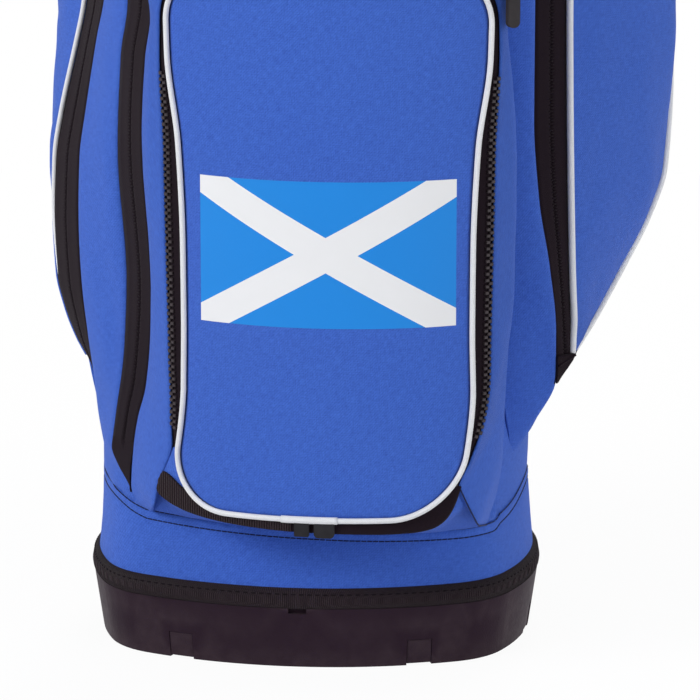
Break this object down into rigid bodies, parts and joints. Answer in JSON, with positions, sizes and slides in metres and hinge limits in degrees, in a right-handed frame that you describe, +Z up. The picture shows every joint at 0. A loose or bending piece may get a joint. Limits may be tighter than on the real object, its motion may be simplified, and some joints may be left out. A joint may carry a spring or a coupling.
{
  "type": "golf bag",
  "caption": "Upright golf bag with a moulded base and divided top, zipped front ball pocket with a removable panel, side garment pockets, shoulder strap and lifting handles.",
  "frame": {"origin": "centre of the underside of the base", "axes": "+Z up the bag, -Y out of the ball pocket, +X towards the larger garment pocket"},
  "size_m": [0.3517, 0.303, 0.88],
  "materials": {
    "blue_fabric": "woven polyester, satin",
    "panel_fabric": "woven polyester with a smooth printed flag",
    "liner_fabric": "woven liner",
    "bar_fleece": "brushed fleece over foam",
    "pad_fabric": "air mesh over foam",
    "black_webbing": "ribbed webbing",
    "zip_tape": "woven zip tape",
    "white_piping": "smooth vinyl piping",
    "base_plastic": "moulded, satin",
    "collar_plastic": "moulded, satin",
    "zip_metal": "black enamel",
    "pull_rubber": "matt",
    "grip_rubber": "matt",
    "steel": "satin plated",
    "stay_rod": "drawn"
  },
  "bodies": {
    "bag": {"ball_pocket_gusset": "blue_fabric", "ball_zip": "zip_tape", "base_cup": "base_plastic", "base_foot": "base_plastic", "base_trim_band": "black_webbing", "body_shell": "blue_fabric", "body_stays": "stay_rod", "divider_bars": "bar_fleece", "divider_panels": "liner_fabric", "front_grip": "grip_rubber", "left_pocket_face": "blue_fabric", "left_pocket_gussets": "blue_fabric", "left_pocket_piping": "white_piping", "left_pocket_zip": "zip_tape", "lift_bail_pins": "steel", "panel_zip_bag_tape": "zip_tape", "panel_zip_box": "zip_metal", "right_pocket_face": "blue_fabric", "right_pocket_gussets": "blue_fabric", "right_pocket_piping": "white_piping", "right_pocket_zip": "zip_tape", "skirt_band": "blue_fabric", "strap_adjuster": "base_plastic", "strap_anchors": "black_webbing", "strap_loops": "steel", "strap_pad": "pad_fabric", "strap_webbing": "black_webbing", "top_collar": "collar_plastic", "towel_rivet": "steel", "towel_tab": "black_webbing", "upper_pocket_piping": "white_piping", "upper_pocket_shell": "blue_fabric", "upper_pocket_zip": "zip_tape"},
    "front_flap": {"front_panel": "panel_fabric", "front_panel_piping": "white_piping", "panel_zip_panel_tape": "zip_tape"},
    "panel_slider_body": {"panel_slider": "zip_metal"},
    "ball_slider_body": {"ball_slider": "zip_metal"},
    "ball_pull_body": {"ball_pull": "pull_rubber"},
    "right_slider_body": {"right_slider": "zip_metal"},
    "right_pull_body": {"right_pull": "pull_rubber"},
    "left_slider_body": {"left_slider": "zip_metal"},
    "left_pull_body": {"left_pull": "pull_rubber"},
    "upper_slider_body": {"upper_slider": "zip_metal"},
    "upper_pull_body": {"upper_pull": "pull_rubber"},
    "lift_bail_body": {"lift_bail": "collar_plastic", "lift_bail_sleeve": "grip_rubber"},
    "towel_ring_body": {"towel_ring": "steel"}
  },
  "joints": [
    {"name": "front_flap_hinge", "type": "hinge", "parent": "bag", "child": "front_flap", "pos_m": [0.02, -0.15, 0.3995], "axis": [-1, 0, 0], "range_deg": [0, 115]},
    {"name": "panel_slider_run", "type": "hinge", "parent": "bag", "child": "panel_slider_body", "pos_m": [0.02, 0.012, 0.0937], "axis": [0, 0, 1], "range_deg": [0, 11]},
    {"name": "ball_slider_run", "type": "hinge", "parent": "bag", "child": "ball_slider_body", "pos_m": [0.02, 0.012, 0.418], "axis": [0, 0, 1], "range_deg": [-68, 0]},
    {"name": "ball_pull_hinge", "type": "hinge", "parent": "ball_slider_body", "child": "ball_pull_body", "pos_m": [0.11615, -0.12405, 0.418], "axis": [-0.8166, -0.5772, 0], "range_deg": [0, 100]},
    {"name": "right_slider_run", "type": "slide", "parent": "bag", "child": "right_slider_body", "axis": [0, 0, 1], "range_m": [-0.4, 0]},
    {"name": "right_pull_hinge", "type": "hinge", "parent": "right_slider_body", "child": "right_pull_body", "pos_m": [0.1376, -0.05065, 0.672], "axis": [-0.739, -0.6738, 0], "range_deg": [0, 100]},
    {"name": "left_slider_run", "type": "slide", "parent": "bag", "child": "left_slider_body", "axis": [0, 0, 1], "range_m": [-0.26, 0]},
    {"name": "left_pull_hinge", "type": "hinge", "parent": "left_slider_body", "child": "left_pull_body", "pos_m": [-0.12604, -0.04151, 0.672], "axis": [-0.4378, 0.8991, 0], "range_deg": [0, 100]},
    {"name": "upper_slider_run", "type": "hinge", "parent": "bag", "child": "upper_slider_body", "pos_m": [0.012, 0.024, 0.646], "axis": [0, 0, 1], "range_deg": [-38, 0]},
    {"name": "upper_pull_hinge", "type": "hinge", "parent": "upper_slider_body", "child": "upper_pull_body", "pos_m": [0.06353, -0.12176, 0.646], "axis": [-0.9428, -0.3333, 0], "range_deg": [0, 100]},
    {"name": "lift_bail_hinge", "type": "hinge", "parent": "bag", "child": "lift_bail_body", "pos_m": [0, 0.114, 0.828], "axis": [1, 0, 0], "range_deg": [0, 165]},
    {"name": "towel_ring_hinge", "type": "hinge", "parent": "bag", "child": "towel_ring_body", "pos_m": [-0.13024, -0.02, 0.806], "axis": [0, 1, 0], "range_deg": [0, 95]}
  ]
}
